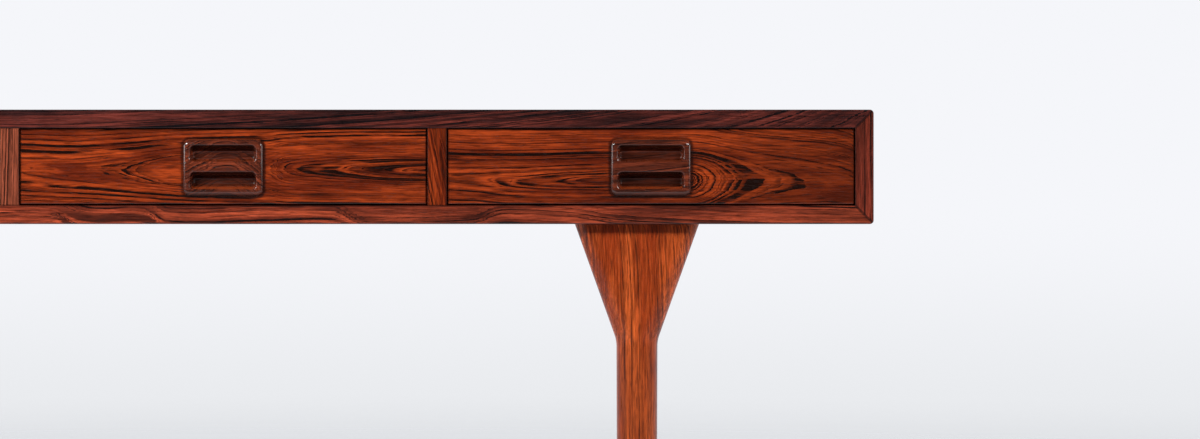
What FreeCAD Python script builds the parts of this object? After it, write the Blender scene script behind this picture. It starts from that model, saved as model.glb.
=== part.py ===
"""Free-standing executive desk: a mitred carcase with four drawers on two flared leg frames.

Millimetres, +Z up, front towards -Y. The origin is on the floor, under the middle of the carcase.
"""

import FreeCAD
import Part
import collections
import math
import os

V = FreeCAD.Vector
Screw = collections.namedtuple("Screw", "head_d shank_d length")
Scoop = collections.namedtuple("Scoop", "lip depth roof_fall sill_rise")

# Overall sizes
DESK_WIDTH = 2000.0
DESK_DEPTH = 750.0
DESK_HEIGHT = 720.0

# Carcase boards
PANEL_T = 21.5
DIVIDER_T = 22.0
BAYS = 4
CORNER_R = 4.5
EDGE_R = 2.0
ARRIS_R = 0.8
LIPPING_D = 12.0
HOUSING_D = 6.0
BACK_T = 10.0
BACK_GROOVE_D = 8.0
BACK_LIPPING_GAP = 2.0
TONGUE_T = 4.0
TONGUE_W = 16.0
TONGUE_END_GAP = 20.0

# Drawers
FRONT_H = 86.5
FRONT_T = 22.0
FRONT_GAP = 1.5
FRONT_SETBACK = 1.0
FRONT_EDGE_R = 1.6
BEHIND_DRAWER = 125.0
SIDE_T = 12.0
SIDE_DROP = 12.5
SIDE_LIFT = 2.5
SIDE_EDGE_R = 1.5
FRONT_LAP = 7.0
BOX_BACK_T = 10.0
BOX_BACK_DROP = 4.0
BOTTOM_T = 5.0
BOTTOM_LIFT = 8.0
BOTTOM_GROOVE_D = 4.0
TAIL_SLOPE = 1.0 / 6.0
TAIL_SHARE = 0.58
TAIL_PITCH = 24.0

# Runners
RUNNER_T = 7.0
RUNNER_H = 12.0
RUNNER_DROP = 30.0
RUNNER_SHORT = 18.0
RUNNER_SIDE_CLEAR = 0.5
RUNNER_TOP_CLEAR = 0.3
RUNNER_UNDER_CLEAR = 0.7
RUNNER_STOP_CLEAR = 0.3

# Carved pulls
PULL_W = 93.0
PULL_H = 66.0
PULL_PROUD = 5.4
PULL_BACKING = 6.0
PULL_CORNER_R = 8.0
PULL_EDGE_R = 5.2
PULL_RIM_R = 1.8
PULL_DROP = 1.0
BAR_H = 11.8
BAR_LIFT = 1.0
UPPER_SCOOP = Scoop(lip=7.0, depth=13.0, roof_fall=6.2, sill_rise=2.0)
LOWER_SCOOP = Scoop(lip=7.5, depth=16.0, roof_fall=6.5, sill_rise=6.0)
SCOOP_END_LIP = 8.0
SCOOP_DRAFT = 2.0
SCOOP_MOUTH_R = 6.0
SCOOP_COVE_R = 3.2
SCOOP_COVE_SHARE = 0.45
SCOOP_COVE_FIT = 0.9
SCOOP_OVERRUN = 3.0

# Leg frames
LEG_OVERHANG = 274.0
LEG_SETBACK = 21.0
LEG_TOP_W = 145.0
LEG_TOP_R = 14.0
STEM_D = 48.0
FOOT_D = 45.0
FOOT_CHAMFER = 2.0
FLARE_H = 136.0
FLARE_BEND_R = 40.0
FLARE_BEND_STEPS = 4
RAIL_T = 30.0
RAIL_H = 60.0
TENON_T = 12.0
TENON_H = 40.0
TENON_L = 30.0
GLIDE_D = 30.0
GLIDE_H = 3.0
GLIDE_EDGE_R = 1.0
GLIDE_PIN_D = 4.0
GLIDE_PIN_L = 14.0

# Countersunk screws
LEG_SCREW = Screw(head_d=12.0, shank_d=6.0, length=60.0)
LEG_SCREW_INSET = 27.5
RAIL_SCREW = Screw(head_d=10.0, shank_d=5.0, length=45.0)
RAIL_SCREW_COUNT = 3
RAIL_SCREW_END = 106.0
RAIL_SCREW_COVER = 4.0
RAIL_COUNTERBORE_D = 12.0
RUNNER_SCREW = Screw(head_d=7.0, shank_d=3.5, length=16.0)
RUNNER_SCREW_COUNT = 3
RUNNER_SCREW_END = 60.0
SCREW_SLOT_W = 1.2
SCREW_SLOT_D = 1.0

# Places worked out from the sizes above
HALF_W = DESK_WIDTH / 2
FRONT_Y = -DESK_DEPTH / 2
REAR_Y = DESK_DEPTH / 2
BAY_Z1 = DESK_HEIGHT - PANEL_T
BAY_Z0 = BAY_Z1 - FRONT_H - 2 * FRONT_GAP
CARCASE_Z = BAY_Z0 - PANEL_T
INNER_HALF_W = HALF_W - PANEL_T
BAY_W = (2 * INNER_HALF_W - (BAYS - 1) * DIVIDER_T) / BAYS
BAY_PITCH = BAY_W + DIVIDER_T
BAY_X = [(i - (BAYS - 1) / 2) * BAY_PITCH for i in range(BAYS)]
DIVIDER_X = [(i - (BAYS - 2) / 2) * BAY_PITCH for i in range(BAYS - 1)]
BACK_Y1 = REAR_Y - LIPPING_D - BACK_LIPPING_GAP
BACK_Y0 = BACK_Y1 - BACK_T

BOX_W = BAY_W - 2 * FRONT_GAP
DRAWER_Y0 = FRONT_Y + FRONT_SETBACK
BOX_Y0 = DRAWER_Y0 + FRONT_T
BOX_Y1 = BACK_Y0 - BEHIND_DRAWER
FRONT_Z0 = BAY_Z0 + FRONT_GAP
FRONT_Z1 = FRONT_Z0 + FRONT_H
SIDE_Z0 = FRONT_Z0 + SIDE_LIFT
SIDE_Z1 = FRONT_Z1 - SIDE_DROP
BOTTOM_Z0 = SIDE_Z0 + BOTTOM_LIFT
BOTTOM_Z1 = BOTTOM_Z0 + BOTTOM_T
RUNNER_Z1 = SIDE_Z1 - RUNNER_DROP
RUNNER_Z0 = RUNNER_Z1 - RUNNER_H
RUNNER_Y0 = BOX_Y0 + RUNNER_STOP_CLEAR
RUNNER_Y1 = BOX_Y1 - RUNNER_SHORT
PULL_Z = (FRONT_Z0 + FRONT_Z1) / 2 - PULL_DROP
PULL_Y0 = DRAWER_Y0 - PULL_PROUD
PULL_Y1 = BOX_Y0 - PULL_BACKING
PULL_Z0 = PULL_Z - PULL_H / 2
PULL_Z1 = PULL_Z + PULL_H / 2
BAR_Z0 = PULL_Z + BAR_LIFT - BAR_H / 2
BAR_Z1 = BAR_Z0 + BAR_H
SCOOP_W = PULL_W - 2 * SCOOP_END_LIP

LEG_X = HALF_W - LEG_OVERHANG
LEG_Y = DESK_DEPTH / 2 - LEG_SETBACK - STEM_D / 2
RAIL_Z0 = CARCASE_Z - RAIL_H
SIDES = (("left", -1), ("right", 1))
ENDS = (("front", -1), ("rear", 1))


def block(x0, x1, y0, y1, z0, z1):
    """Box between two corners."""
    return Part.makeBox(x1 - x0, y1 - y0, z1 - z0, V(x0, y0, z0))


def prism(points, along):
    """Closed outline of points, pushed along a vector."""
    return Part.Face(Part.makePolygon([*points, points[0]])).extrude(along)


def round_edges(shape, radius, wanted):
    """Fillets the edges of a shape whose bounding box passes a test."""
    return shape.makeFillet(radius, [e for e in shape.Edges if wanted(e.BoundBox)])


def flat_at(low, high, value):
    """True where an edge lies in one plane square to an axis."""
    return abs(low - value) < 1e-4 and abs(high - value) < 1e-4


def rounded_block(x0, x1, y0, y1, z0, z1, radius):
    """Box whose four edges along Y are rounded."""
    return round_edges(block(x0, x1, y0, y1, z0, z1), radius, lambda b: b.YLength > y1 - y0 - 1e-4)


def compound(shapes):
    """Several separate solids as one shape."""
    return Part.makeCompound(shapes)


def without(shape, cutters):
    """A shape with several others cut out of it."""
    return shape.cut(cutters) if cutters else shape


def screw(sizes, head, direction):
    """Countersunk screw with a slotted head, and the hole that it fills."""
    head_h = (sizes.head_d - sizes.shank_d) / 2
    along = V(*direction)
    cone = Part.makeCone(sizes.head_d / 2, sizes.shank_d / 2, head_h, head, along)
    shank = Part.makeCylinder(sizes.shank_d / 2, sizes.length - head_h, head + along * head_h, along)
    hole = cone.fuse(shank).removeSplitter()
    slot = block(
        -sizes.head_d / 2, sizes.head_d / 2, -SCREW_SLOT_W / 2, SCREW_SLOT_W / 2, 0, SCREW_SLOT_D
    )
    slot.Placement = FreeCAD.Placement(head, FreeCAD.Rotation(V(0, 0, 1), along))
    return hole.cut(slot), hole


def carcase_ring():
    """The four boards as one mitred ring, with all its outside edges eased."""
    ring = rounded_block(-HALF_W, HALF_W, FRONT_Y, REAR_Y, CARCASE_Z, DESK_HEIGHT, CORNER_R)
    for y in (FRONT_Y, REAR_Y):
        ring = round_edges(ring, EDGE_R, lambda b: flat_at(b.YMin, b.YMax, y))
    ring = ring.cut(block(-INNER_HALF_W, INNER_HALF_W, FRONT_Y, REAR_Y, BAY_Z0, BAY_Z1))

    def inner_arris(b):
        """Edges of the opening at the front or rear face."""
        at_face = flat_at(b.YMin, b.YMax, FRONT_Y) or flat_at(b.YMin, b.YMax, REAR_Y)
        inside = b.XMax < INNER_HALF_W + 1 and b.XMin > -INNER_HALF_W - 1
        return at_face and inside and b.ZMin > BAY_Z0 - 1 and b.ZMax < BAY_Z1 + 1

    return round_edges(ring, ARRIS_R, inner_arris)


def mitred_boards():
    """Outline of each board in the carcase's cross-section, from mitre to mitre."""
    outer = [(-HALF_W, CARCASE_Z), (HALF_W, CARCASE_Z), (HALF_W, DESK_HEIGHT), (-HALF_W, DESK_HEIGHT)]
    half = INNER_HALF_W
    inner = [(-half, BAY_Z0), (half, BAY_Z0), (half, BAY_Z1), (-half, BAY_Z1)]
    names = ("bottom", "right_side", "top", "left_side")
    for i, name in enumerate(names):
        j = (i + 1) % len(names)
        yield name, [V(x, FRONT_Y, z) for x, z in (outer[i], outer[j], inner[j], inner[i])]


def mitre_tongues():
    """A loose tongue across each mitre, square to it and short of the lippings."""
    y0 = FRONT_Y + LIPPING_D + TONGUE_END_GAP
    y1 = BACK_Y0 - TONGUE_END_GAP
    tongues = []
    for sx in (-1, 1):
        for sz, z in ((-1, CARCASE_Z + PANEL_T / 2), (1, DESK_HEIGHT - PANEL_T / 2)):
            tongue = block(-TONGUE_W / 2, TONGUE_W / 2, y0, y1, -TONGUE_T / 2, TONGUE_T / 2)
            tongue.rotate(V(0, 0, 0), V(0, 1, 0), 45 * sx * sz)
            tongue.translate(V(sx * (HALF_W - PANEL_T / 2), 0, z))
            tongues.append(tongue)
    return tongues


def back_panel():
    """Board held by its edges in a groove round the carcase."""
    half_w = INNER_HALF_W + BACK_GROOVE_D
    return block(-half_w, half_w, BACK_Y0, BACK_Y1, BAY_Z0 - BACK_GROOVE_D, BAY_Z1 + BACK_GROOVE_D)


def divider(x):
    """Partition housed in the top and bottom boards, and its lipping."""
    x0 = x - DIVIDER_T / 2
    x1 = x + DIVIDER_T / 2
    y = FRONT_Y + LIPPING_D
    core = block(x0, x1, y, BACK_Y0, BAY_Z0 - HOUSING_D, BAY_Z1 + HOUSING_D)
    lipping = block(x0, x1, FRONT_Y, y, BAY_Z0 + ARRIS_R, BAY_Z1 - ARRIS_R)
    lipping = round_edges(
        lipping, ARRIS_R, lambda b: flat_at(b.YMin, b.YMax, FRONT_Y) and b.ZLength > 1
    )
    ends = [block(x0, x1, FRONT_Y + ARRIS_R, y, z, z + ARRIS_R) for z in (BAY_Z0, BAY_Z1 - ARRIS_R)]
    return core, lipping.multiFuse(ends).removeSplitter()


def runner(x, side):
    """Strip on the wall of a bay, its screws and their holes. Side is -1 on the bay's left wall."""
    wall = x + side * BAY_W / 2
    x0, x1 = sorted((wall, wall - side * RUNNER_T))
    strip = block(x0, x1, RUNNER_Y0, RUNNER_Y1, RUNNER_Z0, RUNNER_Z1)
    step = (RUNNER_Y1 - RUNNER_Y0 - 2 * RUNNER_SCREW_END) / (RUNNER_SCREW_COUNT - 1)
    screws = []
    for i in range(RUNNER_SCREW_COUNT):
        y = RUNNER_Y0 + RUNNER_SCREW_END + i * step
        head = V(wall - side * RUNNER_T, y, (RUNNER_Z0 + RUNNER_Z1) / 2)
        screws.append(screw(RUNNER_SCREW, head, (side, 0, 0)))
    holes = [hole for _, hole in screws]
    return without(strip, holes), [body for body, _ in screws], holes


def tails(x0, x1, y_root, y_tip, z0, z1):
    """Dovetails on the end of a drawer side, narrow at the root and wide at the tip."""
    count = max(1, round((z1 - z0) / TAIL_PITCH))
    pitch = (z1 - z0) / count
    spread = abs(y_tip - y_root) * TAIL_SLOPE
    half_tip = pitch * TAIL_SHARE / 2 + spread / 2
    half_root = half_tip - spread
    made = []
    for i in range(count):
        z = z0 + pitch * (i + 0.5)
        root = [V(x0, y_root, z + half_root), V(x0, y_root, z - half_root)]
        tip = [V(x0, y_tip, z - half_tip), V(x0, y_tip, z + half_tip)]
        made.append(prism(root + tip, V(x1 - x0, 0, 0)))
    return made


def runner_track(side):
    """Groove for a runner, cleared on every side of it. Side is -1 on the drawer's left."""
    outer = side * BOX_W / 2
    reach = RUNNER_T - FRONT_GAP + RUNNER_SIDE_CLEAR
    x0, x1 = sorted((outer, outer - side * reach))
    return block(x0, x1, BOX_Y0, BOX_Y1, RUNNER_Z0 - RUNNER_UNDER_CLEAR, RUNNER_Z1 + RUNNER_TOP_CLEAR)


def drawer_side(side):
    """Drawer side with its dovetails, bottom groove and runner groove. Side is -1 on the left."""
    outer = side * BOX_W / 2
    inner = outer - side * SIDE_T
    x0, x1 = sorted((outer, inner))
    root_y = BOX_Y1 - BOX_BACK_T
    board = block(x0, x1, BOX_Y0, root_y, SIDE_Z0, SIDE_Z1)
    board = round_edges(board, SIDE_EDGE_R, lambda b: b.YLength > 1 and flat_at(b.ZMin, b.ZMax, SIDE_Z1))
    front_tails = tails(x0, x1, BOX_Y0, DRAWER_Y0 + FRONT_LAP, SIDE_Z0, SIDE_Z1 - SIDE_EDGE_R)
    back_tails = tails(x0, x1, root_y, BOX_Y1, BOTTOM_Z1, SIDE_Z1 - BOX_BACK_DROP)
    board = board.multiFuse(front_tails + back_tails).removeSplitter()
    gx0, gx1 = sorted((inner, inner + side * BOTTOM_GROOVE_D))
    groove = block(gx0, gx1, BOX_Y0 - BOTTOM_GROOVE_D, BOX_Y1, BOTTOM_Z0, BOTTOM_Z1)
    return board.cut([groove, runner_track(side)])


def drawer_bottom():
    """Thin board that slides into the grooves under the back."""
    half_w = BOX_W / 2 - SIDE_T + BOTTOM_GROOVE_D
    return block(-half_w, half_w, BOX_Y0 - BOTTOM_GROOVE_D, BOX_Y1, BOTTOM_Z0, BOTTOM_Z1)


def drawer_back(sides):
    """Drawer back, standing on the bottom, with sockets for the sides' dovetails."""
    z1 = SIDE_Z1 - BOX_BACK_DROP
    board = block(-BOX_W / 2, BOX_W / 2, BOX_Y1 - BOX_BACK_T, BOX_Y1, BOTTOM_Z1, z1)
    return board.cut(sides + [runner_track(s) for _, s in SIDES])


def drawer_front(sides, bottom):
    """Drawer front with its eased face, dovetail sockets, bottom groove and the pull's mortise."""
    board = block(-BOX_W / 2, BOX_W / 2, DRAWER_Y0, BOX_Y0, FRONT_Z0, FRONT_Z1)
    board = round_edges(board, FRONT_EDGE_R, lambda b: flat_at(b.YMin, b.YMax, DRAWER_Y0))
    return board.cut([*sides, bottom, pull_blank()])


def pull_blank():
    """The pull's block before it is carved, which also shapes its mortise."""
    x = PULL_W / 2
    return rounded_block(-x, x, PULL_Y0, PULL_Y1, PULL_Z0, PULL_Z1, PULL_CORNER_R)


def swell_edges(shape, wanted, radius):
    """Fillets the edges whose bounding box passes a test, with a radius that may differ at an edge's two ends."""
    document = FreeCAD.newDocument()
    base = document.addObject("Part::Feature")
    base.Shape = shape
    rounded = document.addObject("Part::Fillet")
    rounded.Base = base
    rounded.Edges = [
        (number, radius(edge.Vertexes[0].Point), radius(edge.Vertexes[-1].Point))
        for number, edge in enumerate(shape.Edges, 1)
        if wanted(edge.BoundBox)
    ]
    document.recompute()
    result = rounded.Shape.copy()
    FreeCAD.closeDocument(document.Name)
    return result


def scoop(size, sill, roof):
    """Hollow for the fingers between the heights of its sill and roof, which slope towards its floor.

    Its corners are rounder at the mouth than at the floor, where they and the coves round the floor take up no
    more than a share of the floor's height each.
    """
    mouth = PULL_Y0 - SCOOP_OVERRUN
    deep = PULL_Y0 + size.depth
    overrun = SCOOP_OVERRUN / size.depth
    section = [
        (mouth, sill - size.sill_rise * overrun),
        (deep, sill + size.sill_rise),
        (deep, roof - size.roof_fall),
        (mouth, roof + size.roof_fall * overrun),
    ]
    trough = prism([V(-PULL_W / 2, y, z) for y, z in section], V(PULL_W, 0, 0))
    wide = SCOOP_W / 2 + SCOOP_DRAFT * overrun
    narrow = SCOOP_W / 2 - SCOOP_DRAFT
    plan = [(-wide, mouth), (wide, mouth), (narrow, deep), (-narrow, deep)]
    ends = prism([V(x, y, PULL_Z0) for x, y in plan], V(0, 0, PULL_H))
    floor_h = roof - size.roof_fall - sill - size.sill_rise
    corner = SCOOP_COVE_SHARE * floor_h
    cove = min(SCOOP_COVE_R, SCOOP_COVE_FIT * corner)
    hollow = swell_edges(
        trough.common(ends),
        lambda b: b.YLength > size.depth,
        lambda point: SCOOP_MOUTH_R if abs(point.y - mouth) < 1e-4 else corner,
    )
    return round_edges(hollow, cove, lambda b: flat_at(b.YMin, b.YMax, deep))


def on_rim(b):
    """True for edges of the hollows in the pull's face."""
    half = SCOOP_W / 2 + 1
    low = PULL_Z0 + LOWER_SCOOP.lip - 1
    high = PULL_Z1 - UPPER_SCOOP.lip + 1
    inside = b.XMax < half and b.XMin > -half and b.ZMax < high and b.ZMin > low
    return flat_at(b.YMin, b.YMax, PULL_Y0) and inside


def pull():
    """Carved pull: a proud, eased block with a bar between two scooped hollows."""
    body = round_edges(pull_blank(), PULL_EDGE_R, lambda b: flat_at(b.YMin, b.YMax, PULL_Y0))
    upper = scoop(UPPER_SCOOP, BAR_Z1, PULL_Z1 - UPPER_SCOOP.lip)
    lower = scoop(LOWER_SCOOP, PULL_Z0 + LOWER_SCOOP.lip, BAR_Z0)
    return round_edges(body.cut([upper, lower]), PULL_RIM_R, on_rim)


def leg_ring(z, half_w, radius):
    """Leg section: flat front and rear, corners of a given radius. Eight edges, so that sections match."""
    half_d = STEM_D / 2
    points = []
    for sx, sy in ((1, 1), (-1, 1), (-1, -1), (1, -1)):
        cx = sx * (half_w - radius)
        cy = sy * (half_d - radius)
        diagonal = radius / math.sqrt(2)
        arc = [
            V(cx + sx * radius, cy, z),
            V(cx + sx * diagonal, cy + sy * diagonal, z),
            V(cx, cy + sy * radius, z),
        ]
        points.append(arc if sx == sy else arc[::-1])
    edges = []
    for i, (start, middle, end) in enumerate(points):
        edges.append(Part.Arc(start, middle, end).toShape())
        edges.append(Part.LineSegment(end, points[(i + 1) % 4][0]).toShape())
    return Part.Wire(edges)


def round_ring(z, radius):
    """Circular section in eight arcs that match the leg's other sections."""
    sliver = math.radians(1.0)
    angles = []
    for i in range(4):
        angles += [i * math.pi / 2 + sliver, (i + 1) * math.pi / 2 - sliver]

    def at(angle):
        """Point of the circle."""
        return V(radius * math.cos(angle), radius * math.sin(angle), z)

    edges = []
    for i, start in enumerate(angles):
        end = angles[(i + 1) % 8] + (2 * math.pi if i == 7 else 0)
        edges.append(Part.Arc(at(start), at((start + end) / 2), at(end)).toShape())
    return Part.Wire(edges)


def leg():
    """One leg at the origin: round stem, a soft bend, then a flat flare under the carcase."""
    slope = math.atan((LEG_TOP_W - STEM_D) / 2 / FLARE_H)
    stem_z1 = CARCASE_Z - FLARE_H - FLARE_BEND_R * math.tan(slope / 2)

    def corner(z):
        """Corner radius, from fully round at the stem to the flare's own."""
        share = (z - stem_z1) / (CARCASE_Z - stem_z1)
        return STEM_D / 2 + (LEG_TOP_R - STEM_D / 2) * share

    bend = [round_ring(stem_z1, STEM_D / 2)]
    for i in range(1, FLARE_BEND_STEPS + 1):
        angle = slope * i / FLARE_BEND_STEPS
        z = stem_z1 + FLARE_BEND_R * math.sin(angle)
        bend.append(leg_ring(z, STEM_D / 2 + FLARE_BEND_R * (1 - math.cos(angle)), corner(z)))
    foot = round_ring(GLIDE_H, FOOT_D / 2 - FOOT_CHAMFER)
    ankle = round_ring(GLIDE_H + FOOT_CHAMFER, FOOT_D / 2)
    top = leg_ring(CARCASE_Z, LEG_TOP_W / 2, LEG_TOP_R)
    lofts = [
        Part.makeLoft([foot, ankle], True, True),
        Part.makeLoft([ankle, bend[0]], True, True),
        Part.makeLoft(bend, True, False),
        Part.makeLoft([bend[-1], top], True, True),
    ]
    return lofts[0].multiFuse(lofts[1:]).removeSplitter()


def glide(x, y):
    """Nailed glide under a foot, and the hole for its nail."""
    disc = Part.makeCylinder(GLIDE_D / 2, GLIDE_H, V(x, y, 0))
    disc = round_edges(disc, GLIDE_EDGE_R, lambda b: flat_at(b.ZMin, b.ZMax, 0))
    pin = Part.makeCylinder(GLIDE_PIN_D / 2, GLIDE_PIN_L, V(x, y, GLIDE_H))
    return disc.fuse(pin), pin


def leg_rail(x):
    """Rail between a front and a rear leg, tenoned into both, with its screws and their holes."""
    shoulder = LEG_Y - STEM_D / 2
    rail = block(x - RAIL_T / 2, x + RAIL_T / 2, -shoulder, shoulder, RAIL_Z0, CARCASE_Z)
    rail = round_edges(rail, EDGE_R, lambda b: b.YLength > 1 and flat_at(b.ZMin, b.ZMax, RAIL_Z0))
    middle = (RAIL_Z0 + CARCASE_Z) / 2
    tenon = block(
        x - TENON_T / 2, x + TENON_T / 2, -shoulder - TENON_L, shoulder + TENON_L,
        middle - TENON_H / 2, middle + TENON_H / 2,
    )
    head_z = BAY_Z0 - RAIL_SCREW_COVER - RAIL_SCREW.length
    pitch = 2 * (shoulder - RAIL_SCREW_END) / (RAIL_SCREW_COUNT - 1)
    screws = []
    holes = []
    bores = []
    for i in range(RAIL_SCREW_COUNT):
        y = RAIL_SCREW_END - shoulder + i * pitch
        body, hole = screw(RAIL_SCREW, V(x, y, head_z), (0, 0, 1))
        screws.append(body)
        holes.append(hole)
        bores.append(Part.makeCylinder(RAIL_COUNTERBORE_D / 2, head_z - RAIL_Z0, V(x, y, RAIL_Z0)))
    return rail.fuse(tenon).removeSplitter().cut(holes + bores), screws, holes, tenon


def leg_frames(parts):
    """Adds the legs, rails, glides and their screws. Returns the screws' holes in the carcase bottom."""
    blank = leg()
    glides = []
    leg_screws = []
    rail_screws = []
    bottom_holes = []
    for side, sx in SIDES:
        x = sx * LEG_X
        parts[f"{side}_leg_rail"], bodies, holes, tenon = leg_rail(x)
        rail_screws += bodies
        bottom_holes += holes
        for end, sy in ENDS:
            y = sy * LEG_Y
            foot, nail = glide(x, y)
            glides.append(foot)
            holes = [nail, tenon]
            for _, s in SIDES:
                head = V(x + s * (LEG_TOP_W / 2 - LEG_SCREW_INSET), y, BAY_Z0)
                body, hole = screw(LEG_SCREW, head, (0, 0, -1))
                leg_screws.append(body)
                holes.append(hole)
                bottom_holes.append(hole)
            parts[f"{end}_{side}_leg"] = without(blank.translated(V(x, y, 0)), holes)
    parts["leg_glides"] = compound(glides)
    parts["leg_screws"] = compound(leg_screws)
    parts["leg_rail_screws"] = compound(rail_screws)
    return bottom_holes


def runners(parts):
    """Adds a pair of runners for each drawer and their screws. Returns the screw holes."""
    all_screws = []
    all_holes = []
    for i, x in enumerate(BAY_X):
        strips = []
        for _, side in SIDES:
            strip, screws, holes = runner(x, side)
            strips.append(strip)
            all_screws += screws
            all_holes += holes
        parts[f"drawer_{i + 1}_runners"] = compound(strips)
    parts["runner_screws"] = compound(all_screws)
    return all_holes


def carcase(parts, bottom_holes, runner_holes):
    """Adds the boards, lippings, tongues, dividers and back."""
    ring = carcase_ring()
    tongues = mitre_tongues()
    back = back_panel()
    names = ("left", "centre", "right") if BAYS == 4 else [str(i + 1) for i in range(BAYS - 1)]
    cores = []
    for name, x in zip(names, DIVIDER_X):
        core, lipping = divider(x)
        cores.append(core)
        parts[f"{name}_divider"] = without(core, runner_holes)
        parts[f"{name}_divider_lipping"] = lipping
    for name, outline in mitred_boards():
        board = ring.common(prism(outline, V(0, DESK_DEPTH, 0)))
        front = block(-HALF_W, HALF_W, FRONT_Y, FRONT_Y + LIPPING_D, CARCASE_Z, DESK_HEIGHT)
        rear = block(-HALF_W, HALF_W, REAR_Y - LIPPING_D, REAR_Y, CARCASE_Z, DESK_HEIGHT)
        parts[f"{name}_front_lipping"] = board.common(front)
        parts[f"{name}_rear_lipping"] = board.common(rear)
        holes = bottom_holes if name == "bottom" else runner_holes
        parts[f"{name}_panel"] = board.cut([front, rear, back, *tongues, *cores, *holes])
    parts["back_panel"] = back
    parts["mitre_tongues"] = compound(tongues)


def drawers(parts):
    """Adds the pieces of each drawer, alike in every bay."""
    sides = [drawer_side(s) for _, s in SIDES]
    bottom = drawer_bottom()
    pieces = {
        "front": drawer_front(sides, bottom),
        "pull": pull(),
        "left_side": sides[0],
        "right_side": sides[1],
        "back": drawer_back(sides),
        "bottom": bottom,
    }
    for i, x in enumerate(BAY_X):
        for name, shape in pieces.items():
            parts[f"drawer_{i + 1}_{name}"] = shape.translated(V(x, 0, 0))


def main():
    """Builds every piece and writes one file for each."""
    parts = {}
    bottom_holes = leg_frames(parts)
    runner_holes = runners(parts)
    carcase(parts, bottom_holes, runner_holes)
    drawers(parts)
    os.makedirs("parts", exist_ok=True)
    for name, shape in sorted(parts.items()):
        shape.exportStep(f"parts/{name}.step")
    print(len(parts), "parts")


main()
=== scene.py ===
import math

import bpy
from mathutils import Matrix, Vector


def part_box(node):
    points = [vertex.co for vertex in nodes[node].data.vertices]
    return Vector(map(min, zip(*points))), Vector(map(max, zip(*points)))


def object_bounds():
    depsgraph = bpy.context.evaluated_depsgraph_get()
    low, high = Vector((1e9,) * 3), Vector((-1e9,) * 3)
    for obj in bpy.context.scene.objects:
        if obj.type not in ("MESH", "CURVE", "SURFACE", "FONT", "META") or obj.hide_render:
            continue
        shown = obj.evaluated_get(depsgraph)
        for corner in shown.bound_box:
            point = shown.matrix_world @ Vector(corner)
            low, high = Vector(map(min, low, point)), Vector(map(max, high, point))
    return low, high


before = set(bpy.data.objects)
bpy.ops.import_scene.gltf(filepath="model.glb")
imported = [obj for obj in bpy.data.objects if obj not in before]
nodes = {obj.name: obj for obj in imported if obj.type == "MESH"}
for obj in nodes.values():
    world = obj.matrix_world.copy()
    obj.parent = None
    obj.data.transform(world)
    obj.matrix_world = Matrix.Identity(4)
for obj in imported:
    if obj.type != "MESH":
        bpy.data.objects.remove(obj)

cad_low, cad_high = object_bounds()

# The frame's axes
X = Vector((1, 0, 0))
Y = Vector((0, 1, 0))
Z = Vector((0, 0, 1))

# Figure and grain are written in millimetres
MM = 0.001

# Drawers are numbered from the left, as the desk is seen from the front
DRAWERS = (1, 2, 3, 4)
SIDES = ("left", "right")
DIVIDERS = ("left", "centre", "right")

# The photograph's frame in pixels, its scale on the plane of the desk's front, and two of its places
PHOTO_WIDTH = 1200
PHOTO_HEIGHT = 439
METRES_PER_PIXEL = 0.0011554
DESK_MIDDLE_PX = 8.6
DESK_TOP_PX = 109.4


# Node helpers

def srgb(red, green, blue):
    """A colour in screen values from 0 to 255, as the linear colour that a socket takes."""
    def linear(value):
        share = value / 255
        return share / 12.92 if share <= 0.04045 else ((share + 0.055) / 1.055) ** 2.4
    return (linear(red), linear(green), linear(blue), 1.0)


def feed(tree, socket, value):
    """Links a socket to another, or sets it to a plain value."""
    if isinstance(value, bpy.types.NodeSocket):
        tree.links.new(value, socket)
    else:
        socket.default_value = value


def add(tree, kind, settings=None, **inputs):
    """A new node with its settings, and its inputs by name, where an underscore stands for a space."""
    made = tree.nodes.new(kind)
    for name, value in (settings or {}).items():
        setattr(made, name, value)
    for name, value in inputs.items():
        feed(tree, made.inputs[name.replace("_", " ")], value)
    return made


def calc(tree, operation, *values):
    made = add(tree, "ShaderNodeMath", {"operation": operation})
    for socket, value in zip(made.inputs, values):
        feed(tree, socket, value)
    return made.outputs[0]


def vector_calc(tree, operation, *values):
    made = add(tree, "ShaderNodeVectorMath", {"operation": operation})
    for socket, value in zip(made.inputs, values):
        feed(tree, socket, value)
    return made.outputs["Value" if operation in ("DOT_PRODUCT", "LENGTH") else "Vector"]


def parts_of(tree, vector):
    return add(tree, "ShaderNodeSeparateXYZ", Vector=vector).outputs


def joined(tree, x, y, z):
    return add(tree, "ShaderNodeCombineXYZ", X=x, Y=y, Z=z).outputs["Vector"]


def span(tree, value, low, high, to_low=0.0, to_high=1.0, ease="SMOOTHSTEP"):
    """The value's place between low and high, eased at both ends."""
    made = add(
        tree, "ShaderNodeMapRange", {"interpolation_type": ease},
        Value=value, From_Min=low, From_Max=high, To_Min=to_low, To_Max=to_high,
    )
    return made.outputs["Result"]


def noise(tree, vector, detail=2.0, roughness=0.5, output="Fac"):
    made = add(tree, "ShaderNodeTexNoise", Vector=vector, Scale=1.0, Detail=detail, Roughness=roughness)
    return made.outputs[output]


def line_noise(tree, place, detail=2.0, roughness=0.5):
    """Noise along one line, for what changes from ring to ring."""
    made = add(
        tree, "ShaderNodeTexNoise", {"noise_dimensions": "1D"},
        W=place, Scale=1.0, Detail=detail, Roughness=roughness,
    )
    return made.outputs["Fac"]


def stretched(tree, vector, counts, shift):
    """Board coordinates with this many noise cells a metre along, across and through the board."""
    return vector_calc(tree, "MULTIPLY_ADD", vector, counts, shift)


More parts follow.
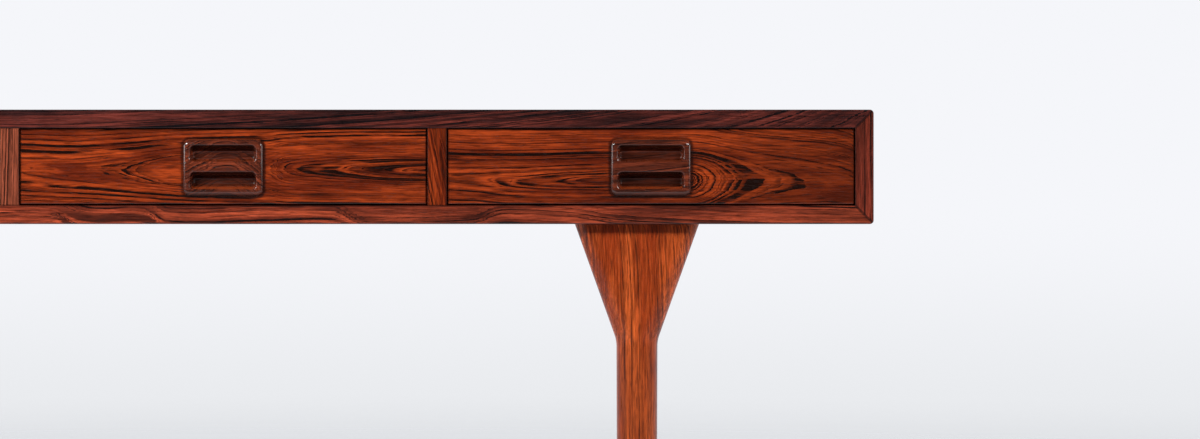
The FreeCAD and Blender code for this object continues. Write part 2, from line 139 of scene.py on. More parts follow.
def mixed(tree, share, first, second, blend="MIX"):
    made = add(tree, "ShaderNodeMix", {"data_type": "RGBA", "blend_type": blend})
    feed(tree, made.inputs["Factor"], share)
    first_socket, second_socket = [s for s in made.inputs if s.type == "RGBA"]
    feed(tree, first_socket, first)
    feed(tree, second_socket, second)
    return next(s for s in made.outputs if s.type == "RGBA")


SOCKET_KINDS = {"value": "NodeSocketFloat", "vector": "NodeSocketVector", "colour": "NodeSocketColor"}


def new_group(name, inputs, outputs):
    """An empty node group with named sockets: its tree, its inputs and its output node."""
    tree = bpy.data.node_groups.new(name, "ShaderNodeTree")
    for label, kind in inputs.items():
        tree.interface.new_socket(label, in_out="INPUT", socket_type=SOCKET_KINDS[kind])
    for label, kind in outputs.items():
        tree.interface.new_socket(label, in_out="OUTPUT", socket_type=SOCKET_KINDS[kind])
    entry = tree.nodes.new("NodeGroupInput")
    leave = tree.nodes.new("NodeGroupOutput")
    return tree, entry.outputs, leave.inputs


def place_group(tree, group, **inputs):
    return add(tree, "ShaderNodeGroup", {"node_tree": group}, **inputs).outputs


# The least height of a profile's curve, so that a level one has a height too
LEAST_RISE = 0.001


def profile(tree, place, points, unit=MM):
    """A value on a smooth line through points of place along the board, in millimetres, and value."""
    places = [point[0] for point in points]
    values = [point[1] for point in points]
    low, high = min(values), max(values)
    share = span(tree, place, places[0] * MM, places[-1] * MM, ease="LINEAR")
    bend = add(tree, "ShaderNodeFloatCurve", Value=share)
    line = bend.mapping.curves[0]
    while len(line.points) < len(points):
        line.points.new(0.5, 0.5)
    for dot, (along, value) in zip(line.points, points):
        dot.location = (
            (along - places[0]) / (places[-1] - places[0]),
            (value - low) / max(high - low, LEAST_RISE),
        )
    bend.mapping.update()
    return span(tree, bend.outputs["Value"], 0.0, 1.0, low * unit, high * unit, ease="LINEAR")


# Wood figure, shared by every timber

def make_combed_grain():
    """Board coordinates whose place along the grain is ragged from fibre to fibre."""
    tree, entry, leave = new_group(
        "combed_grain",
        {"Board": "vector", "Comb": "value", "Seed": "value"},
        {"Combed": "vector", "Along": "value"},
    )
    fibres = noise(tree, stretched(tree, entry["Board"], (14, 420, 420), entry["Seed"]), 3.0, 0.65)
    slip = calc(tree, "MULTIPLY", calc(tree, "SUBTRACT", fibres, 0.5), entry["Comb"])
    combed = vector_calc(tree, "ADD", entry["Board"], joined(tree, slip, 0.0, 0.0))
    feed(tree, leave["Combed"], combed)
    feed(tree, leave["Along"], parts_of(tree, combed)["X"])
    return tree


def make_growth_rings():
    """How far a point of the board lies from the tree's pith, in millimetres.

    Pith is where the pith runs across the board, and Depth is how deep it runs below the face. Where
    Depth changes along the board the rings come out as nested arches, and where it is least as ovals.
    """
    tree, entry, leave = new_group(
        "growth_rings",
        {"Board": "vector", "Pith": "value", "Depth": "value", "Wander": "value", "Seed": "value"},
        {"Radius": "value"},
    )
    board, seed = entry["Board"], entry["Seed"]
    slow = noise(tree, stretched(tree, board, (5, 18, 18), seed), 1.0, 0.5, "Color")
    drift = vector_calc(tree, "SUBTRACT", slow, (0.5, 0.5, 0.5))
    drift = vector_calc(tree, "MULTIPLY", drift, entry["Wander"])
    place = parts_of(tree, vector_calc(tree, "ADD", board, drift))
    across = calc(tree, "SUBTRACT", place["Y"], entry["Pith"])
    below = calc(tree, "ADD", place["Z"], entry["Depth"])
    squares = calc(tree, "MULTIPLY_ADD", below, below, calc(tree, "MULTIPLY", across, across))
    ripple = calc(tree, "SUBTRACT", noise(tree, stretched(tree, board, (22, 130, 130), seed), 2.0), 0.5)
    ripple = calc(tree, "MULTIPLY", ripple, entry["Wander"])
    radius = calc(tree, "MULTIPLY_ADD", ripple, 0.3, calc(tree, "SQRT", squares))
    feed(tree, leave["Radius"], calc(tree, "DIVIDE", radius, MM))
    return tree


def make_veneer_leaves():
    """Board coordinates that fold back at each joint of the veneer, so that leaves mirror each other."""
    tree, entry, leave = new_group(
        "veneer_leaves", {"Board": "vector", "Leaf": "value"}, {"Board": "vector"},
    )
    place = parts_of(tree, entry["Board"])
    half = calc(tree, "MULTIPLY", entry["Leaf"], 0.5)
    folded = calc(tree, "PINGPONG", calc(tree, "ADD", place["Y"], half), entry["Leaf"])
    across = calc(tree, "SUBTRACT", folded, half)
    feed(tree, leave["Board"], joined(tree, place["X"], across, place["Z"]))
    return tree


def ragged_width(tree, board, counts, width):
    """A width that wavers by half of itself each way, with this many noise cells a metre."""
    ragged = noise(tree, stretched(tree, board, counts, (0, 0, 0)), 3.0, 0.6)
    return calc(tree, "MULTIPLY", width, span(tree, ragged, 0.25, 0.75, 0.5, 1.5, "LINEAR"))


# Darkened arrises stand partly for grime and partly for painted shade on the rounded edges
def make_worn_edges():
    """A ragged mask along a board's arrises: 1 on the arris and 0 further in than Width."""
    tree, entry, leave = new_group(
        "dark_arrises",
        {"Board": "vector", "Middle": "vector", "Half": "vector", "Width": "value"},
        {"Edge": "value"},
    )
    offset = vector_calc(tree, "SUBTRACT", entry["Board"], entry["Middle"])
    offset = vector_calc(tree, "ABSOLUTE", offset)
    inset = parts_of(tree, vector_calc(tree, "SUBTRACT", entry["Half"], offset))
    nearest = calc(tree, "MINIMUM", inset["X"], inset["Y"])
    other = calc(tree, "MAXIMUM", inset["X"], inset["Y"])
    second = calc(tree, "MAXIMUM", nearest, calc(tree, "MINIMUM", other, inset["Z"]))
    width = ragged_width(tree, entry["Board"], (55, 420, 420), entry["Width"])
    feed(tree, leave["Edge"], calc(tree, "SUBTRACT", 1.0, span(tree, second, 0.0, width)))
    return tree


def make_wax_line():
    """A ragged mask of painted shadow round a fitting let into the face: 1 at its outline, 0 beyond
    Width.

    Corner is the radius of the fitting's corners.
    """
    tree, entry, leave = new_group(
        "painted_shadow_line",
        {"Board": "vector", "Middle": "vector", "Half": "vector", "Corner": "value", "Width": "value"},
        {"Edge": "value"},
    )
    offset = vector_calc(tree, "SUBTRACT", entry["Board"], entry["Middle"])
    offset = vector_calc(tree, "ABSOLUTE", offset)
    straight = vector_calc(tree, "SUBTRACT", entry["Half"], entry["Corner"])
    beyond = vector_calc(tree, "MAXIMUM", vector_calc(tree, "SUBTRACT", offset, straight), (0, 0, 0))
    beyond = vector_calc(tree, "LENGTH", vector_calc(tree, "MULTIPLY", beyond, (1, 1, 0)))
    width = ragged_width(tree, entry["Board"], (90, 300, 300), entry["Width"])
    far = calc(tree, "SUBTRACT", beyond, entry["Corner"])
    near = calc(tree, "MULTIPLY", width, 0.3)
    feed(tree, leave["Edge"], calc(tree, "SUBTRACT", 1.0, span(tree, far, near, width)))
    return tree


def make_rosewood():
    """Rosewood under lacquer: red-brown, with near-black bands and lines along its rings.

    One ring may stand out as a broad dark line: Mark is its distance from the pith in millimetres.
    Darkening mixes in the dark tone and dulls the wood. It carries real stains, mitre lines and grime,
    and painted shade as well, in hollows, under edges, round pulls and on the leg stems.
    """
    tree, entry, leave = new_group(
        "rosewood",
        {
            "Board": "vector", "Radius": "value", "Seed": "value", "Ring Width": "value",
            "Bands": "value", "Lines": "value", "Mark": "value", "Mark Width": "value",
            "Dark": "colour", "Middle": "colour", "Light": "colour", "Gloss": "value", "Grime": "value",
        },
        {"Colour": "colour", "Roughness": "value", "Height": "value"},
    )
    board, seed, dark = entry["Board"], entry["Seed"], entry["Dark"]
    uneven = line_noise(tree, calc(tree, "MULTIPLY_ADD", entry["Radius"], 0.12, seed), 2.0)
    rings = calc(tree, "MULTIPLY_ADD", uneven, 10.0, entry["Radius"])

    # Lighter and darker heartwood, in long clouds and from ring to ring
    tone = line_noise(tree, calc(tree, "MULTIPLY_ADD", rings, 0.3, seed), 2.0, 0.6)
    cloud = noise(tree, stretched(tree, board, (5, 40, 40), seed), 3.0, 0.6)
    tone = calc(tree, "MULTIPLY_ADD", cloud, 0.65, calc(tree, "MULTIPLY", tone, 0.35))
    colour = mixed(tree, span(tree, tone, 0.4, 0.6), entry["Middle"], entry["Light"])

    # Broad dark bands
    band = line_noise(tree, calc(tree, "MULTIPLY_ADD", rings, 0.13, seed), 2.0, 0.6)
    band = span(tree, band, 0.46, 0.66)
    band_fade = span(tree, noise(tree, stretched(tree, board, (6, 50, 50), seed), 3.0, 0.6), 0.34, 0.58)
    band = calc(tree, "MULTIPLY", band, band_fade)

    # Each ring darkens outwards and ends sharply, some much more than others, most of all in the bands
    count = calc(tree, "DIVIDE", rings, entry["Ring Width"])
    part = calc(tree, "FRACT", count)
    index = calc(tree, "ADD", calc(tree, "FLOOR", count), seed)
    depth = add(tree, "ShaderNodeTexWhiteNoise", {"noise_dimensions": "1D"}, W=index).outputs["Value"]
    ring = calc(tree, "MULTIPLY", span(tree, part, 0.35, 0.8), span(tree, part, 0.93, 1.0, 1.0, 0.0))
    strength = calc(tree, "MULTIPLY_ADD", band, 0.6, span(tree, depth, 0.1, 0.8, 0.1, 1.0))
    ring = calc(tree, "MULTIPLY", ring, strength)
    ring_fade = noise(tree, stretched(tree, board, (12, 110, 110), seed), 3.0, 0.65)
    ring_fade = span(tree, ring_fade, 0.32, 0.54)
    ring = calc(tree, "MULTIPLY", ring, ring_fade)

    # Hairlines between the rings
    hair = span(tree, line_noise(tree, calc(tree, "MULTIPLY_ADD", rings, 1.15, seed), 1.0), 0.54, 0.68)
    hair_fade = noise(tree, stretched(tree, board, (16, 190, 190), seed), 2.0, 0.6)
    hair_fade = span(tree, hair_fade, 0.42, 0.6)
    hair = calc(tree, "MULTIPLY", calc(tree, "MULTIPLY", hair, hair_fade), 0.75)

    # The one broad dark ring
    from_mark = calc(tree, "ABSOLUTE", calc(tree, "SUBTRACT", entry["Radius"], entry["Mark"]))
    mark_core = calc(tree, "MULTIPLY", entry["Mark Width"], 0.3)
    mark = span(tree, from_mark, mark_core, entry["Mark Width"], 1.0, 0.0)
    mark = calc(tree, "MULTIPLY", mark, ring_fade)

    lines = calc(tree, "MULTIPLY", calc(tree, "MAXIMUM", ring, hair), entry["Lines"])
    shade = calc(tree, "MAXIMUM", calc(tree, "MULTIPLY", band, entry["Bands"]), lines)
    shade = calc(tree, "MAXIMUM", shade, mark)
    colour = mixed(tree, calc(tree, "MINIMUM", shade, 1.0), colour, dark)

    # Fibres, dark dashes among them, and open pores
    fibres = noise(tree, stretched(tree, board, (30, 430, 430), seed), 4.0, 0.7)
    fibre_tone = span(tree, fibres, 0.28, 0.72, 0.4, 1.6, "LINEAR")
    colour = mixed(tree, 1.0, colour, fibre_tone, "MULTIPLY")
    dashes = span(tree, noise(tree, stretched(tree, board, (42, 560, 560), seed), 2.0, 0.6), 0.56, 0.7)
    colour = mixed(tree, calc(tree, "MULTIPLY", dashes, 0.6), colour, dark)
    pores = span(tree, noise(tree, stretched(tree, board, (70, 1500, 1500), seed), 1.0), 0.6, 0.7)
    colour = mixed(tree, calc(tree, "MULTIPLY", pores, 0.5), colour, dark)
    # Darkening: stains, mitre lines and grime of the wood, together with painted shade
    colour = mixed(tree, calc(tree, "MULTIPLY", entry["Grime"], 0.7), colour, dark)

    rough = calc(tree, "MULTIPLY_ADD", fibres, 0.1, entry["Gloss"])
    rough = calc(tree, "MULTIPLY_ADD", pores, 0.15, rough)
    feed(tree, leave["Colour"], colour)
    feed(tree, leave["Roughness"], calc(tree, "MULTIPLY_ADD", entry["Grime"], 0.05, rough))
    grain_height = calc(tree, "MULTIPLY", fibres, 0.25)
    feed(tree, leave["Height"], calc(tree, "MULTIPLY_ADD", pores, -1.0, grain_height))
    return tree


def make_pale_timber():
    """Waxed oak, beech or birch: soft rings, silky fibres and short dark flecks."""
    tree, entry, leave = new_group(
        "pale_timber",
        {
            "Board": "vector", "Radius": "value", "Seed": "value", "Ring Width": "value",
            "Rings": "value", "Flecks": "value", "Dark": "colour", "Light": "colour", "Gloss": "value",
            "Grime": "value",
        },
        {"Colour": "colour", "Roughness": "value", "Height": "value"},
    )
    board, seed, dark = entry["Board"], entry["Seed"], entry["Dark"]
    uneven = line_noise(tree, calc(tree, "MULTIPLY_ADD", entry["Radius"], 0.15, seed), 2.0)
    rings = calc(tree, "MULTIPLY_ADD", uneven, 6.0, entry["Radius"])
    part = calc(tree, "FRACT", calc(tree, "DIVIDE", rings, entry["Ring Width"]))
    ring = calc(tree, "MULTIPLY", span(tree, part, 0.2, 0.85), span(tree, part, 0.88, 1.0, 1.0, 0.0))
    cloud = noise(tree, stretched(tree, board, (4, 26, 26), seed), 3.0, 0.55)
    shade = calc(tree, "MULTIPLY_ADD", ring, entry["Rings"], span(tree, cloud, 0.35, 0.7, 0.0, 0.35))
    colour = mixed(tree, calc(tree, "MINIMUM", shade, 1.0), entry["Light"], dark)

    fibres = noise(tree, stretched(tree, board, (16, 700, 700), seed), 3.0, 0.65)
    colour = mixed(tree, 1.0, colour, span(tree, fibres, 0.28, 0.72, 0.82, 1.16, "LINEAR"), "MULTIPLY")
    flecks = span(tree, noise(tree, stretched(tree, board, (60, 1100, 1100), seed), 1.0), 0.6, 0.7)
    flecks = calc(tree, "MULTIPLY", flecks, entry["Flecks"])
    colour = mixed(tree, calc(tree, "MULTIPLY", flecks, 0.7), colour, dark)
    # Darkening here is the darkened arrises, partly grime and partly painted shade
    colour = mixed(tree, calc(tree, "MULTIPLY", entry["Grime"], 0.45), colour, dark)

    rough = calc(tree, "MULTIPLY_ADD", fibres, 0.18, entry["Gloss"])
    feed(tree, leave["Colour"], colour)
    feed(tree, leave["Roughness"], calc(tree, "MULTIPLY_ADD", entry["Grime"], -0.08, rough))
    grain_height = calc(tree, "MULTIPLY", fibres, 0.3)
    feed(tree, leave["Height"], calc(tree, "MULTIPLY_ADD", flecks, -1.0, grain_height))
    return tree


combed_grain = make_combed_grain()
growth_rings = make_growth_rings()
veneer_leaves = make_veneer_leaves()
dark_arrises = make_worn_edges()
painted_shadow_line = make_wax_line()
rosewood_grain = make_rosewood()
pale_timber = make_pale_timber()


# Materials

def new_material(name):
    """A material with an empty node tree but for its Principled shader: the tree and the shader."""
    material = bpy.data.materials.new(name)
    material.use_nodes = True
    tree = material.node_tree
    tree.nodes.clear()
    shader = tree.nodes.new("ShaderNodeBsdfPrincipled")
    output = tree.nodes.new("ShaderNodeOutputMaterial")
    tree.links.new(shader.outputs["BSDF"], output.inputs["Surface"])
    return material, tree, shader


def wear(name, material):
    nodes[name].data.materials.clear()
    nodes[name].data.materials.append(material)


def follow(tree, place, figure):
    """A figure's value along the board: a plain number of millimetres, or points on its line."""
    if isinstance(figure, (int, float)):
        return figure * MM
    return profile(tree, place, figure)


# Pores, the painted shadow round the pulls and the dark mitre lines of the boards. Lengths are in
# millimetres
PORE_DEPTH = 0.12
PORE_STRENGTH = 0.35
SHADOW_LINE_WIDTH = 4.0
SHADOW_LINE_DEPTH = 3.0
FITTING_CORNER = 8.0
MITRE_LINE = 1.1
MITRE_CORE = 0.44

# Painted shade, painted light and polish of a carved piece: heights above its lower edge and levels
# below its face, in millimetres, and facings, which run from -1 where a surface looks down to 1 where
# it looks up
LIP_HEIGHTS = (6.75, 7.5)
LIP_SHADE = 0.75
HOLLOW_START = 9.0
UNDERSIDE_FACINGS = (-0.7, -0.3)
POLISH_LEVELS = (-9.0, -4.0)
POLISH_FACINGS = (-0.5, -0.1)
POLISH_ROUGHNESS = 0.06
SILL_BACK_LEVELS = (-12.0, -5.0)
SILL_FRONT_LEVELS = (-2.0, -3.5)
SILL_FACINGS = (0.4, 0.9)
SILL_LIGHT_SHARE = 0.48
# The colour of the painted light on the sills
LIT_SILL_COLOUR = srgb(196, 82, 30)


def level_span(tree, value, levels, to_low=0.0, to_high=1.0):
    """A length's place between two levels in millimetres."""
    low, high = levels
    return span(tree, value, low * MM, high * MM, to_low, to_high)


def carved_painted_light_and_polish(tree, board, half, hollow):
    """Masks of a carved piece's painted shade, its polish and the painted light on its sills.

    Painted shade darkens the hollows, whose depth is hollow, what looks down and the lower lip. The
    piece is polished outside its hollows, and its sills, which look up, are painted paler as if lit.
    """
    place = parts_of(tree, board)
    level = place["Z"]
    facing = parts_of(tree, tree.nodes.new("ShaderNodeNewGeometry").outputs["Normal"])["Z"]
    # Painted shade: the lower lip, the hollows and what looks down are darkened as if shaded
    lip = level_span(tree, calc(tree, "ADD", place["Y"], half.y), LIP_HEIGHTS, LIP_SHADE, 0.0)
    deep = level_span(tree, level, (-hollow, -HOLLOW_START), 1.0, 0.0)
    under = span(tree, facing, *UNDERSIDE_FACINGS, 1.0, 0.0)
    darkening = calc(tree, "MAXIMUM", lip, calc(tree, "MAXIMUM", deep, under))
    polish = level_span(tree, level, POLISH_LEVELS)
    polish = calc(tree, "MULTIPLY", polish, span(tree, facing, *POLISH_FACINGS))
    # Painted light: the sills that look up are made paler as if lit from above
    lit_sill = level_span(tree, level, SILL_BACK_LEVELS)
    lit_sill = calc(tree, "MULTIPLY", lit_sill, level_span(tree, level, SILL_FRONT_LEVELS))
    lit_sill = calc(tree, "MULTIPLY", lit_sill, span(tree, facing, *SILL_FACINGS, 0.0, SILL_LIGHT_SHARE))
    return darkening, polish, lit_sill


def painted_shadow_round(tree, board, centre, ways, fitting):
    """A mask of painted shadow on the face, round the node that fitting names. ways are the board's
    axes.
    """
    low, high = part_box(fitting)
    shift = (low + high) / 2 - centre
    size = (high - low) / 2
    shadow_mask = place_group(
        tree, painted_shadow_line, Board=board, Middle=[shift.dot(way) for way in ways],
        Half=[abs(size.dot(way)) for way in ways], Corner=FITTING_CORNER * MM, Width=SHADOW_LINE_WIDTH * MM,
    )
    on_face = level_span(tree, parts_of(tree, board)["Z"], (-SHADOW_LINE_DEPTH, 0.0))
    return calc(tree, "MULTIPLY", shadow_mask["Edge"], on_face)


def mitre_lines(tree, board, half, mitre):
    """A mask of the dark line along each mitre.

    mitre is 1 where the board is longest along its far edge across, and -1 along its near one.
    """
    place = parts_of(tree, board)
    inward = calc(tree, "SUBTRACT", half.x - half.y, calc(tree, "ABSOLUTE", place["X"]))
    inward = calc(tree, "MULTIPLY_ADD", place["Y"], mitre, inward)
    return level_span(tree, inward, (MITRE_CORE, MITRE_LINE), 1.0, 0.0)


def board_material(name, wood, along, across, seed, pith, depth, wander, comb, edge, specular, face=None,
                   leaf=None, hollow=None, fitting=None, stain=None, slant=0.0, mitre=0, **looks):
    """Gives a node its own board of a timber, cut from the tree at pith and depth.

    along and across are the board's directions, and face is the way that its best side looks. The
    board's coordinates start in the middle of that side. Arrises are darkened over the width edge,
    partly as grime and partly as painted shade, and leaf is the width of its leaves of veneer. A
    carved piece has its depth in hollow, and its whole outline, hollows and undersides are darkened
    as painted shade, while its sills are painted paler as if lit. fitting names the node let into
    the face, round which a painted shadow lies. stain darkens the board by place along it,
    from 0 to 1, in patches that lean back by slant times the place across: a stain of the wood on
    most boards, and painted shade on the leg stems. mitre is as mitre_lines has it, or 0 where the
    ends are square. Lengths are in millimetres.
    """
    low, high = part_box(name)
    centre = (low + high) / 2
    through = along.cross(across)
    ways = (along, across, through)
    half = Vector([abs((high - low).dot(way)) / 2 for way in ways])
    lift = 0.0 if face is None else half.z * face.dot(through)
    material, tree, shader = new_material(f"{wood.name}_{name}")
    rest = tree.nodes.new("ShaderNodeTexCoord").outputs["Object"]
    board = add(
        tree, "ShaderNodeMapping", {"vector_type": "TEXTURE"}, Vector=rest,
        Location=centre + through * lift, Rotation=Matrix(ways).transposed().to_euler(),
    ).outputs["Vector"]
    # Arrises darken, partly as grime and partly as painted shade; on a carved piece the whole outline
    # darkens as painted shade
    reach = half if hollow is None else Vector((half.x, half.y, 0))
    edges = place_group(
        tree, dark_arrises, Board=board, Middle=(0, 0, -lift), Half=reach, Width=edge * MM,
    )
    darkening = edges["Edge"]
    if hollow is not None:
        # Painted shade of a carved piece, and the painted light on its sills
        carved_shade, polish, lit_sill = carved_painted_light_and_polish(tree, board, half, hollow)
        darkening = calc(tree, "MAXIMUM", darkening, carved_shade)
    if fitting is not None:
        # Painted shadow round the pull that is let into the face
        darkening = calc(tree, "MAXIMUM", darkening, painted_shadow_round(tree, board, centre, ways, fitting))
    if mitre:
        darkening = calc(tree, "MAXIMUM", darkening, mitre_lines(tree, board, half, mitre))
    if leaf is not None:
        board = place_group(tree, veneer_leaves, Board=board, Leaf=leaf * MM)["Board"]
    combed = place_group(tree, combed_grain, Board=board, Comb=comb * MM, Seed=seed)
    if stain is not None:
        slanted = calc(tree, "MULTIPLY_ADD", parts_of(tree, board)["Y"], slant, combed["Along"])
        darkening = calc(tree, "MAXIMUM", darkening, profile(tree, slanted, stain, 1.0))
    radius = place_group(
        tree, growth_rings, Board=combed["Combed"], Wander=wander * MM, Seed=seed,
        Pith=follow(tree, combed["Along"], pith), Depth=follow(tree, combed["Along"], depth),
    )["Radius"]
    grain = place_group(tree, wood, Board=board, Radius=radius, Seed=seed, Grime=darkening, **looks)
    bump = add(
        tree, "ShaderNodeBump", Height=grain["Height"], Strength=PORE_STRENGTH, Distance=PORE_DEPTH * MM,
    )
    colour = grain["Colour"]
    if hollow is not None:
        # Painted light on the sills
        colour = mixed(tree, lit_sill, colour, LIT_SILL_COLOUR)
        feed(tree, shader.inputs["Coat Weight"], polish)
        shader.inputs["Coat Roughness"].default_value = POLISH_ROUGHNESS
    feed(tree, shader.inputs["Base Color"], colour)
    feed(tree, shader.inputs["Roughness"], grain["Roughness"])
    feed(tree, shader.inputs["Normal"], bump.outputs["Normal"])
    shader.inputs["Specular IOR Level"].default_value = specular
    wear(name, material)


# Dark, middle and light of the rosewood boards
TONES = {
    "front": (srgb(28, 10, 5), srgb(108, 36, 14), srgb(181, 70, 27)),
    "edge_dark": (srgb(16, 11, 13), srgb(57, 27, 25), srgb(117, 51, 42)),
    "edge_light": (srgb(30, 13, 11), srgb(128, 52, 33), srgb(192, 82, 51)),
    "upright": (srgb(26, 12, 10), srgb(92, 37, 26), srgb(138, 56, 39)),
    "middle_upright": (srgb(46, 22, 15), srgb(134, 66, 46), srgb(180, 92, 64)),
    "leg": (srgb(70, 22, 8), srgb(166, 63, 23), srgb(224, 102, 45)),
    "pull": (srgb(22, 10, 7), srgb(88, 37, 23), srgb(138, 60, 35)),
    "panel": (srgb(40, 15, 9), srgb(108, 40, 20), srgb(154, 63, 30)),
}

# Lacquers that are duller than on the drawer fronts
SEMI_GLOSS = dict(gloss=0.22, specular=0.3)
SATIN = dict(gloss=0.34, specular=0.25)

# A radius that no board reaches
NO_MARK = -100.0


def rosewood(name, along, across, tone, seed, pith, depth, wander=6.0, comb=10.0, edge=1.6, specular=0.4,
             ring=3.4, bands=0.8, lines=1.0, gloss=0.14, mark=NO_MARK, mark_width=1.0, **cut):
    """Gives a node its own board of rosewood. cut takes what else board_material does."""
    dark, middle, light = TONES[tone]
    board_material(
        name, rosewood_grain, along, across, seed, pith, depth, wander, comb, edge, specular,
        Ring_Width=ring, Bands=bands, Lines=lines, Dark=dark, Middle=middle, Light=light, Gloss=gloss,
        Mark=mark, Mark_Width=mark_width, **cut,
    )


# Dark and light of the pale timbers, and the width and strength of their rings and flecks
PALE_TIMBERS = {
    "oak": dict(
        Dark=srgb(126, 88, 50), Light=srgb(204, 166, 116), Gloss=0.46,
        Ring_Width=4.2, Rings=0.5, Flecks=0.9,
    ),
    "birch": dict(
        Dark=srgb(164, 124, 80), Light=srgb(218, 186, 140), Gloss=0.5,
        Ring_Width=7.0, Rings=0.32, Flecks=0.25,
    ),
    "beech": dict(
        Dark=srgb(150, 100, 64), Light=srgb(208, 160, 116), Gloss=0.44,
        Ring_Width=3.0, Rings=0.3, Flecks=0.75,
    ),
}
PALE_EDGE = 2.0
PALE_SPECULAR = 0.35


def pale(name, timber, along, across, seed, pith=20, depth=30, wander=5.0, comb=6.0):
    """Gives a node its own board of a pale timber."""
    board_material(
        name, pale_timber, along, across, seed, pith, depth, wander, comb, PALE_EDGE, PALE_SPECULAR,
        **PALE_TIMBERS[timber],
    )


# Drawer fronts. Points give the place along from the front's middle, then the value there
FRONT_FIGURES = {
    1: dict(seed=41.0, pith=6, depth=((-236, 4), (-60, 30), (236, 44))),
    2: dict(seed=23.0, pith=-6, depth=((-236, 40), (0, 24), (120, 10), (236, 26))),
    3: dict(
        seed=11.0, pith=((-236, 0), (50, -4), (236, -3)), ring=2.3, bands=0.5, lines=1.35,
        depth=(
            (-236, 35), (-107, 30.4), (-40, 25.5), (45, 22), (75, 15), (130, 10), (190, 5.5), (236, 2.5),
        ),
        mark=6.5, mark_width=1.8,
    ),
    4: dict(
        seed=3.0, comb=6.0, ring=3.0, bands=0.55, lines=1.2,
        pith=((-236, -15), (-150, -17), (45, -16), (110, -16), (236, -32)),
        depth=(
            (-236, 15), (-200, 14), (-165, 10.5), (-60, 4), (40, 3), (55, 9),
            (70, 17), (92, 26), (125, 33), (160, 36), (236, 40),
        ),
        stain=((-236, 0), (50, 0), (120, 0.5), (236, 0.6)), mark=9.0, mark_width=1.8,
    ),
}

# Pulls: the pith runs below the pull, and the lines rise and fall with it
PULL_PITHS = {
    1: ((-46, -60), (0, -56), (46, -64)),
    2: ((-46, -66), (10, -58), (46, -62)),
    3: ((-46, -80), (-20, -67), (4, -58), (22, -65), (46, -82)),
    4: ((-46, -64), (0, -59), (46, -54)),
}
for number in DRAWERS:
    rosewood(
        f"drawer_{number}_front", X, Z, "front", edge=2.4, face=-Y, fitting=f"drawer_{number}_pull",
        **FRONT_FIGURES[number],
    )
    # A pull's darkened outline and hollows are painted shade, and its lit sills painted light
    rosewood(
        f"drawer_{number}_pull", X, Z, "pull", 60.0 + 3 * number, PULL_PITHS[number], 12,
        wander=4.0, ring=4.2, bands=0.7, lines=0.7, specular=0.2, edge=4.0, face=-Y, hollow=16,
    )

# Lippings, which end in mitres on the panels and square on the dividers
TOP_PITHS = ((-1000, -140), (60, -140), (1000, 0))
BOTTOM_PITHS = (
    (-1000, -30), (-700, -44), (-640, -60), (-330, -54), (-280, -70), (0, -60),
    (48, -62), (102, -79), (150, -78), (186, -94), (370, -92), (415, -110),
    (535, -108), (575, -96), (620, -97), (720, -108), (1000, -118),
)
BOTTOM_STAIN = (
    (-1000, 0.1), (-900, 0.35), (-820, 0.05), (-560, 0.3), (-480, 0), (-250, 0.35), (-180, 0.05),
    (40, 0), (90, 0.45), (115, 0.1), (150, 0), (178, 0.45), (215, 0.3), (240, 0), (370, 0.05),
    (395, 0.5), (430, 0.1), (520, 0.05), (550, 0.4), (585, 0.05), (640, 0.35), (690, 0.05),
    (770, 0.25), (850, 0), (940, 0.3), (1000, 0.1),
)
for end, facing in (("front", -Y), ("rear", Y)):
    rosewood(
        f"top_{end}_lipping", X, Z, "edge_dark", 3.0, TOP_PITHS, 20, wander=4.0, comb=14.0, ring=3.8,
        bands=0.7, lines=1.2, edge=2.4, face=facing, mitre=1, **SEMI_GLOSS,
    )
    rosewood(
        f"bottom_{end}_lipping", X, Z, "edge_light", 5.0, BOTTOM_PITHS, 12, wander=8.0, comb=16.0,
        bands=0.85, lines=1.2, edge=2.4, face=facing, mitre=-1, stain=BOTTOM_STAIN, slant=3.0,
        **SEMI_GLOSS,
    )
    for side, seed, mitre in (("left", 11.0, -1), ("right", 9.0, 1)):
        rosewood(
            f"{side}_side_{end}_lipping", Z, X, "upright", seed, 30, 10, wander=3.0, edge=2.8,
            face=facing, mitre=mitre, **SEMI_GLOSS,
        )
for place, divider in enumerate(DIVIDERS):
    tone, pith = "front", ((-50, 42), (50, 20))
    if divider == "centre":
        tone, pith = "middle_upright", ((-50, 34), (50, 38))
    rosewood(f"{divider}_divider_lipping", Z, X, tone, 15.0 + 4 * place, pith, 8, face=-Y)
    rosewood(f"{divider}_divider", Y, Z, "panel", 31.0 + place, 20, 20)

# Veneered panels, the wide ones in leaves that mirror each other
LEAF_WIDTH = 181.5
TOP_DEPTHS = ((-1000, 42), (-520, 12), (-200, 30), (240, 46), (620, 16), (1000, 34))
BACK_DEPTHS = ((-1000, 20), (0, 50), (1000, 10))
rosewood("top_panel", X, Y, "panel", 51.0, 24, TOP_DEPTHS, wander=12.0, face=Z, leaf=LEAF_WIDTH, **SATIN)
rosewood("bottom_panel", X, Y, "panel", 53.0, 40, 60, wander=12.0, face=-Z, leaf=LEAF_WIDTH, **SATIN)
rosewood("back_panel", X, Z, "panel", 55.0, 0, BACK_DEPTHS, wander=10.0, face=Y, **SATIN)
for side, outward, seed in (("left", -X, 57.0), ("right", X, 58.0)):
    rosewood(f"{side}_side_panel", Z, Y, "panel", seed, 60, 40, wander=8.0, face=outward, **SATIN)

